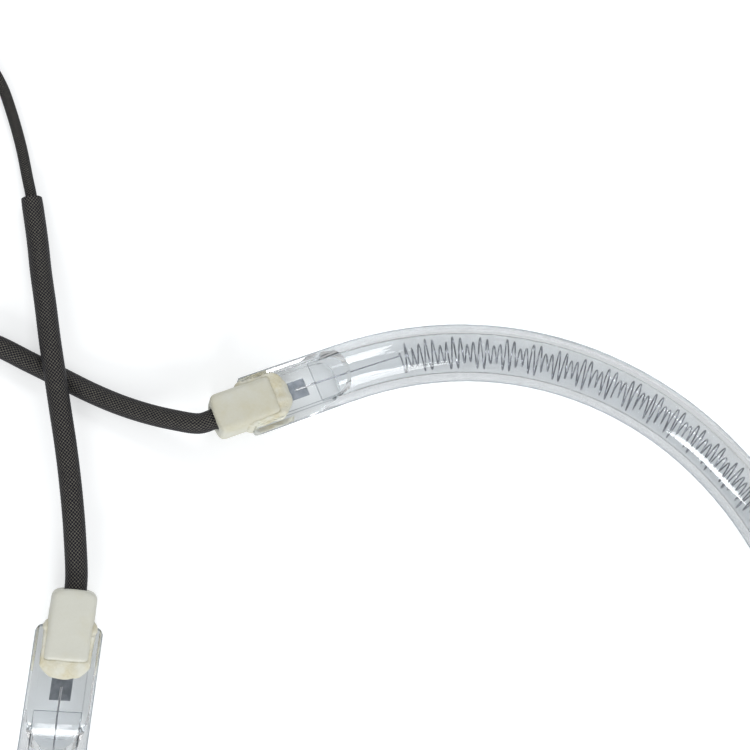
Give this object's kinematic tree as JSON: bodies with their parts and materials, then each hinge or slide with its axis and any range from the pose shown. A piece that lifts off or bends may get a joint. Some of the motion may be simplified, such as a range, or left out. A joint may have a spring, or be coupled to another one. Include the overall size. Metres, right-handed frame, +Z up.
{
  "type": "quartz heating tube",
  "caption": "Ring-shaped quartz halogen heating tube lying flat, with pinched ends, ceramic caps and two sleeved leads ending in ring terminals.",
  "frame": {"origin": "centre of the ring, on the plane that the tube lies on", "axes": "+Z up out of the ring's plane, -X through the middle of the gap between the two ends, +Y towards end a"},
  "size_m": [0.2284, 0.1558, 0.01],
  "materials": {
    "quartz": "clear fused quartz",
    "tungsten": "dark drawn wire",
    "molybdenum": "dull rolled foil",
    "steatite": "fine matt ceramic",
    "cement": "rough dried cement",
    "nickel": "satin",
    "lead_braid": "tight black glass braid",
    "sleeve_braid": "coated black glass braid",
    "tinned": "tinned sheet"
  },
  "bodies": {
    "root": {"quartz_tube": "quartz", "filament": "tungsten", "seal_foil_a": "molybdenum", "seal_foil_b": "molybdenum", "outer_pin_a": "molybdenum", "outer_pin_b": "molybdenum", "ceramic_cap_a": "steatite", "ceramic_cap_b": "steatite", "cement_a": "cement", "cement_b": "cement", "crimp_barrel_a": "nickel", "crimp_barrel_b": "nickel", "lead_a": "lead_braid", "lead_b": "lead_braid", "braid_sleeve_a": "sleeve_braid", "braid_sleeve_b": "sleeve_braid", "ring_terminal_a": "tinned", "ring_terminal_b": "tinned"}
  },
  "joints": []
}
